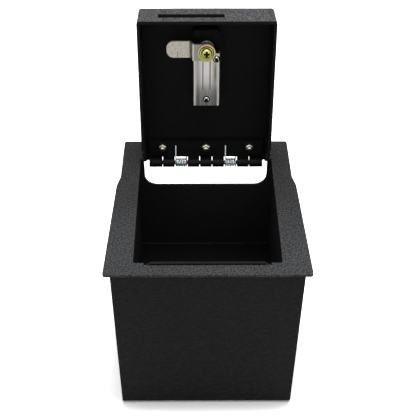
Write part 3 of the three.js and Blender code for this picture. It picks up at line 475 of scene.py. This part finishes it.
# Painted shade: a dark copy of the nuts' zinc, for their flats and for the studs.
NUT_PAINTED_SHADE = black_enamel("nut_and_stud_painted_shade", 0.02, 0.4, 0.5 * MM, 0.01 * MM)
# Painted shade for the cover screws' hollows and countersinks.
RECESS_SHADE = black_enamel("screw_recess_painted_shade", 0.004, 0.6, 0.4 * MM, 0.005 * MM, 0.1)
NICKEL = cover_nickel()
CAM_NICKEL = cam_nickel()
YELLOW_ZINC = yellow_zinc()
WHITE = white_paint()

NUMBER_DIALS = [f"number_dial_{i}" for i in range(1, 5)]
FINISHES = {
    FLANGE_COAT: ["flange_plate"],
    LID_COAT: ["lid_pan"],
    TUB_COAT: ["tub_wrapper", "side_wall_left", "side_wall_right"],
    HINGE_BLACK: [
        "strike_plate", "hinge_fixed_leaf", "hinge_moving_leaf", "hinge_fixed_spacer", "hinge_moving_spacer",
        "hinge_pin",
    ],
    LOCK_BLACK: ["lock_body"],
    KNOB_BLACK: ["knob"],
    BEZEL_BLACK: ["lock_bezel"],
    DIAL_BLACK: NUMBER_DIALS,
    COLLAR_GREY: ["cam_collar"],
    NUT_PAINTED_SHADE: [f"leaf_stud_{side}" for side in NUT_X],
    ZINC: [
        *(f"leaf_nut_{side}" for side in NUT_X), *COVER_SCREWS, "dial_axle", "spindle",
        "torsion_spring_left", "torsion_spring_right",
    ],
    NICKEL: ["lock_cover"],
    CAM_NICKEL: ["cam"],
    YELLOW_ZINC: ["cam_washer", "cam_screw"],
}
for material, names in FINISHES.items():
    for name in names:
        mesh = NODES[name].data
        mesh.materials.clear()
        mesh.materials.append(material)


# Edges: each node listed below is welded, freed of its flat triangles and given a small rounded edge

def soften(name, width):
    node = NODES[name]
    weld = node.modifiers.new("weld", "WELD")
    weld.merge_threshold = 0.01 * MM
    flat = node.modifiers.new("flat faces", "DECIMATE")
    flat.decimate_type = "DISSOLVE"
    flat.angle_limit = math.radians(0.4)
    edge = node.modifiers.new("edge", "BEVEL")
    edge.width = width
    edge.segments = 2
    edge.limit_method = "ANGLE"
    edge.angle_limit = math.radians(32)
    normals = node.modifiers.new("normals", "WEIGHTED_NORMAL")
    normals.weight = 100
    node.data.shade_smooth()


EDGES = {
    0.5 * MM: ["flange_plate"],
    0.9 * MM: ["lid_pan"],
    0.7 * MM: ["tub_wrapper"],
    0.35 * MM: [
        "strike_plate", "hinge_fixed_leaf", "hinge_moving_leaf", "hinge_fixed_spacer", "hinge_moving_spacer",
        "cam", "lock_bezel", "knob", "lock_body",
    ],
    0.2 * MM: ["lock_cover", "cam_collar", "cam_washer"],
    0.12 * MM: [*NUMBER_DIALS, "cam_screw"],
}
for width, names in EDGES.items():
    for name in names:
        soften(name, width)


# Pieces made here

def add(name, mesh, place, materials):
    """Puts a mesh into the scene with its finishes and smooth shading up to sharp edges."""
    for material in materials:
        mesh.materials.append(material)
    mesh.shade_smooth()
    mesh.set_sharp_from_angle(angle=math.radians(35))
    piece = bpy.data.objects.new(name, mesh)
    bpy.context.collection.objects.link(piece)
    piece.matrix_world = place
    return piece


def lofted(name, loops, caps=True, slots=None):
    """Mesh through closed loops of equally many points; slots gives the material of each strip."""
    slots = slots or [0] * len(loops)
    mesh = bpy.data.meshes.new(name)
    bm = bmesh.new()
    rows = [[bm.verts.new(point) for point in loop] for loop in loops]
    count = len(rows[0])
    for slot, row, after in zip(slots, rows, rows[1:]):
        for k in range(count):
            face = bm.faces.new((row[k], row[(k + 1) % count], after[(k + 1) % count], after[k]))
            face.material_index = slot
    if caps:
        bm.faces.new(rows[0][::-1]).material_index = slots[0]
        bm.faces.new(rows[-1]).material_index = slots[-1]
    bmesh.ops.recalc_face_normals(bm, faces=bm.faces)
    bm.to_mesh(mesh)
    bm.free()
    return mesh


def ring(radius, height, sides=24):
    """Loop of points at one height; radius may be a function of the angle."""
    loop = []
    for k in range(sides):
        angle = 2 * math.pi * k / sides
        reach = radius(angle) if callable(radius) else radius
        loop.append((reach * math.cos(angle), reach * math.sin(angle), height))
    return loop


def wire_loops(line, radius, sides):
    """Loops of a round wire along a line of points."""
    loops = []
    side = Vector((1, 0, 0))
    last = len(line) - 1
    for i, point in enumerate(line):
        way = (line[min(i + 1, last)] - line[max(i - 1, 0)]).normalized()
        side = (side - way * side.dot(way)).normalized()
        up = way.cross(side)
        loops.append([
            tuple(point + radius * (math.cos(turn) * side + math.sin(turn) * up))
            for turn in (2 * math.pi * k / sides for k in range(sides))])
    return loops


# Torsion springs: a leg on the lid's leaf, a close coil round the pin, a leg under the fixed leaf

WIRE = 1.3
WIRE_SIDES = 10
COIL_RADIUS = 4.0
COIL_TURNS = 6
COIL_STEPS = 28
COIL_GAP = 0.3
MOVING_LEG = 19.0
FIXED_LEG = 17.0
LEG_HEIGHT = 1.15
LEG_STEPS = 6


def tangent(tip, side):
    """Angle on the coil where a straight leg from the tip touches it."""
    return math.atan2(tip[1], tip[0]) + side * math.acos(COIL_RADIUS / math.hypot(*tip))


def spring(name, first_end, other_end):
    """A wound spring between two knuckles; its first leg lies along the lid's leaf as the lid stands now, its
    last leg along the tub's fixed leaf.
    """
    first = first_end + COIL_GAP + WIRE / 2
    last = other_end - COIL_GAP - WIRE / 2
    moving = (
        MOVING_LEG * math.cos(LID_TILT) + LEG_HEIGHT * math.sin(LID_TILT),
        MOVING_LEG * math.sin(LID_TILT) - LEG_HEIGHT * math.cos(LID_TILT))
    fixed = (FIXED_LEG, LEG_HEIGHT)
    start = tangent(moving, 1)
    sweep = (tangent(fixed, -1) - start) % (2 * math.pi) + 2 * math.pi * COIL_TURNS
    steps = round(COIL_STEPS * sweep / (2 * math.pi))
    coil = []
    for k in range(steps + 1):
        angle = start + sweep * k / steps
        x = first + (last - first) * k / steps
        coil.append(Vector((x, COIL_RADIUS * math.cos(angle), COIL_RADIUS * math.sin(angle))))
    moving_leg = [Vector((first, *moving)).lerp(coil[0], k / LEG_STEPS) for k in range(LEG_STEPS)]
    fixed_leg = [coil[-1].lerp(Vector((last, *fixed)), k / LEG_STEPS) for k in range(1, LEG_STEPS + 1)]
    loops = wire_loops(moving_leg + coil + fixed_leg, WIRE / 2, WIRE_SIDES)
    place = Matrix.Translation(HINGE) @ Matrix.Scale(MM, 4)
    piece = add(f"{name}_wound", lofted(name, loops), place, [SPRING_ZINC])
    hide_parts(name)
    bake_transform(piece)


for name, middle in (("torsion_spring_left", -2), ("torsion_spring_right", 2)):
    spring(name, KNUCKLE_PITCH * (middle - 0.5), KNUCKLE_PITCH * (middle + 0.5))


# Leaf nuts: chamfered hexagons standing on a corner, each with its stud's rounded tip, the flats and the stud
# painted dark as shade

NUT_SEAT = LEAF_FACE + 0.3


def hexagon(flats):
    """Radius of a hexagon at an angle, by its width over the flats."""
    return lambda angle: flats / 2 / math.cos((angle % (math.pi / 3)) - math.pi / 6)


def leaf_nut(side):
    """Loops go up the nut's flats (bright to the chamfer) and over the stud's tip; each has a slot."""
    # Painted shade: the flats, the top and the stud are dark; the chamfer and a ring on the stud's tip keep the
    # bright zinc.
    profile = [
        (hexagon(8.0), 0.0, 0), (hexagon(8.0), 0.2, 0), (hexagon(7.6), 0.5, 0), (hexagon(7.5), 4.2, 1),
        (hexagon(5.5), 5.0, 0), (2.42, 5.05, 0), (2.42, 6.1, 0), (2.3, 6.2, 1), (1.1, 7.0, 0),
        (0.05, 7.05, 0)]
    loops = [[(y, x, z) for x, y, z in ring(radius, NUT_SEAT + height)] for radius, height, _ in profile]
    mesh = lofted(f"nut_{side}", loops, caps=False, slots=[slot for _, _, slot in profile])
    place = LID @ Matrix.Translation((NUT_X[side], NUT_S, 0))
    piece = add(f"leaf_nut_{side}_chamfered", mesh, place, [NUT_PAINTED_SHADE, NUT_ZINC])
    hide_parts(f"leaf_nut_{side}")
    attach(piece, "lid")


for side in NUT_X:
    leaf_nut(side)


# Cover screws: a domed head with a hollow, in a countersink; the hollow and the countersink are painted black,
# as shade

def cover_screw(name, x, s):
    profile = [
        (3.4, 0.02, 0), (3.4, 0.1, 0), (2.6, 0.1, 0), (2.55, 0.4, 1), (2.4, 0.85, 1), (2.1, 1.2, 1),
        (1.65, 1.42, 0), (1.4, 0.6, 0), (0.02, 0.5, 0)]
    loops = [ring(radius, height, 28) for radius, height, _ in profile]
    mesh = lofted(name, loops, slots=[slot for _, _, slot in profile])
    place = LID @ Matrix.Translation((x, s, COVER_FACE))
    piece = add(f"{name}_domed", mesh, place, [RECESS_SHADE, ZINC])
    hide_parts(name)
    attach(piece, "lid")


for name, (x, s) in COVER_SCREWS.items():
    cover_screw(name, x, s)


# Retaining ring round the collar's foot, on the lock's nose, open towards the hinge

RING_RADIUS = 6.55
RING_WIRE = 1.0


def retaining_ring():
    middle = Vector((0, LOCK_S, NOSE_FACE + RING_WIRE / 2))
    turns = [math.radians(angle) for angle in range(200, 521, 8)]
    line = [middle + RING_RADIUS * Vector((math.sin(turn), math.cos(turn), 0)) for turn in turns]
    mesh = lofted("retaining_ring", wire_loops(line, RING_WIRE / 2, 8))
    piece = add("collar_retaining_ring", mesh, LID, [COLLAR_GREY])
    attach(piece, "lid")


retaining_ring()


# Dial numbers, upright to a person who stands in front of the closed safe

DIGIT_SIZE = 4.8
DIGIT_RELIEF = 0.06
DIGIT_LIFT = 0.02


def dial_numbers(index, s_place):
    gathered = bmesh.new()
    for digit in range(10):
        curve = bpy.data.curves.new(f"digit_{index}_{digit}", "FONT")
        curve.body = str(digit)
        curve.size = DIGIT_SIZE
        curve.align_x = "CENTER"
        curve.align_y = "CENTER"
        curve.extrude = DIGIT_RELIEF
        holder = bpy.data.objects.new(curve.name, curve)
        bpy.context.collection.objects.link(holder)
        bpy.context.view_layer.update()
        shape = bpy.data.meshes.new_from_object(holder)
        turn = 2 * math.pi * digit / 10
        right = Vector((math.cos(turn), 0, math.sin(turn)))
        normal = Vector((math.sin(turn), 0, -math.cos(turn)))
        up = Vector((0, -1, 0))
        basis = Matrix((right, up, normal)).transposed().to_4x4()
        centre = Vector((0, s_place, DIAL_O)) + normal * (DIAL_RADIUS + DIGIT_LIFT)
        shape.transform(Matrix.Translation(centre) @ basis)
        gathered.from_mesh(shape)
        bpy.data.objects.remove(holder)
        bpy.data.meshes.remove(shape)
        bpy.data.curves.remove(curve)
    mesh = bpy.data.meshes.new(f"dial_{index}_numbers")
    gathered.to_mesh(mesh)
    gathered.free()
    piece = add(f"dial_{index}_numbers", mesh, LID, [WHITE])
    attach(piece, f"dial_{index}")


for index, place in enumerate(DIAL_S, 1):
    dial_numbers(index, place)


# Stage, lights and camera

FLOOR_SIZE = 6
FLOOR_DROP = 0.0002
FLOOR_BOUNCE = 0.6
SHADOW_HALF = 100.0
SKY_LIGHT = 0.22
SKY_BANDS = ((0.0, grey(0.9)), (0.2, grey(0.9)), (0.5, grey(0.7)), (0.8, grey(0.7)), (0.95, grey(0.9)))


def chosen(tree, factor, first, second):
    """The first shader where the factor is 0, the second where it is 1."""
    node = tree.nodes.new("ShaderNodeMixShader")
    tree.links.new(factor, node.inputs["Fac"])
    tree.links.new(first, node.inputs[1])
    tree.links.new(second, node.inputs[2])
    return node.outputs["Shader"]


def stage():
    """White floor: the camera sees it glow away from the tub's foot, so only the contact shadow is left."""
    bpy.ops.mesh.primitive_plane_add(size=1)
    floor = bpy.context.object
    floor.name = "studio_floor"
    floor.scale = (FLOOR_SIZE, FLOOR_SIZE, 1)
    floor.location = (0, 0, -FLOOR_DROP)
    s = Shader("studio_floor")
    tree = s.material.node_tree
    rays = s.nodes.new("ShaderNodeLightPath").outputs

    def paper(level):
        node = s.nodes.new("ShaderNodeBsdfDiffuse")
        node.inputs["Color"].default_value = (level, level, level, 1)
        return node.outputs["BSDF"]

    def added(first, second):
        node = s.nodes.new("ShaderNodeAddShader")
        s.links.new(first, node.inputs[0])
        s.links.new(second, node.inputs[1])
        return node.outputs["Shader"]

    x, y, _ = s.parts(s.stretched((FLOOR_SIZE / MM, FLOOR_SIZE / MM, 1)))
    aside = s.math("SUBTRACT", tub_breadth(s, x, y), SHADOW_HALF)
    gap = s.math("MAXIMUM", aside, s.math("SUBTRACT", TUB_FRONT_Y, y))
    glow = s.nodes.new("ShaderNodeEmission")
    near = s.math("MULTIPLY", s.rise(gap, 3.0, 17.0), 0.45)
    s.links.new(s.math("ADD", near, s.rise(gap, 200.0, 900.0)), glow.inputs["Strength"])
    seen = added(added(paper(1), paper(1)), glow.outputs["Emission"])
    mirrored = s.math("MAXIMUM", rays["Is Glossy Ray"], rays["Is Transmission Ray"])
    unseen = chosen(tree, mirrored, paper(FLOOR_BOUNCE), paper(1))
    s.links.new(
        chosen(tree, rays["Is Camera Ray"], unseen, seen), s.nodes["Material Output"].inputs["Surface"])
    floor.data.materials.append(s.material)


def sky():
    """Even light for diffuse rays; for reflections a bright horizon, a dimmer sky and a bright top."""
    world = bpy.data.worlds.new("studio")
    bpy.context.scene.world = world
    world.use_nodes = True
    tree = world.node_tree
    nodes, links = tree.nodes, tree.links
    nodes.clear()
    rays = nodes.new("ShaderNodeLightPath").outputs
    output = nodes.new("ShaderNodeOutputWorld")

    def background(level):
        node = nodes.new("ShaderNodeBackground")
        node.inputs["Color"].default_value = (1, 1, 1, 1)
        node.inputs["Strength"].default_value = level
        return node

    reflected = background(1.0)
    heights = nodes.new("ShaderNodeSeparateXYZ")
    links.new(nodes.new("ShaderNodeTexCoord").outputs["Generated"], heights.inputs["Vector"])
    bands = nodes.new("ShaderNodeValToRGB")
    fill_ramp(bands, SKY_BANDS)
    links.new(heights.outputs["Z"], bands.inputs["Fac"])
    links.new(bands.outputs["Color"], reflected.inputs["Color"])
    diffuse, seen = background(SKY_LIGHT), background(1.0)
    lit = chosen(
        tree, rays["Is Glossy Ray"], diffuse.outputs["Background"], reflected.outputs["Background"])
    links.new(
        chosen(tree, rays["Is Camera Ray"], lit, seen.outputs["Background"]), output.inputs["Surface"])


def softbox(name, place, target, width, depth, power):
    data = bpy.data.lights.new(name, "AREA")
    data.shape = "RECTANGLE"
    data.size = width
    data.size_y = depth
    data.energy = power
    lamp = bpy.data.objects.new(name, data)
    bpy.context.collection.objects.link(lamp)
    lamp.location = place
    lamp.rotation_euler = (Vector(target) - Vector(place)).to_track_quat("-Z", "Y").to_euler()


stage()
sky()
softbox("top_softbox", (0.1, 0.25, 1.7), (0, 0, 0.2), 1.5, 1.1, 24)
softbox("front_softbox", (-0.1, -1.6, 1.1), (0, 0, 0.15), 1.2, 0.9, 3)

# The camera that was solved from the photo's straight edges; lengths of the image are in pixels.
IMAGE = 416
FOCAL_LENGTH = 833.3
AXIS_PIXEL = (198, 247)
SENSOR = 36
CAMERA_PLACE = (-0.01052, -0.5789, 0.525 + TUB_TOP * MM)
CAMERA_DOWN = math.radians(43.87)
CAMERA_TURN = math.radians(-0.198)

lens = bpy.data.cameras.new("photo_camera")
lens.sensor_width = SENSOR
lens.lens = SENSOR * FOCAL_LENGTH / IMAGE
lens.shift_x = (IMAGE / 2 - AXIS_PIXEL[0]) / IMAGE
lens.shift_y = (AXIS_PIXEL[1] - IMAGE / 2) / IMAGE
lens.clip_start = 0.01
camera = bpy.data.objects.new("photo_camera", lens)
bpy.context.collection.objects.link(camera)
camera.location = CAMERA_PLACE
camera.rotation_euler = (math.pi / 2 - CAMERA_DOWN, 0, CAMERA_TURN)
bpy.context.scene.camera = camera
bpy.context.scene.view_settings.view_transform = "Standard"
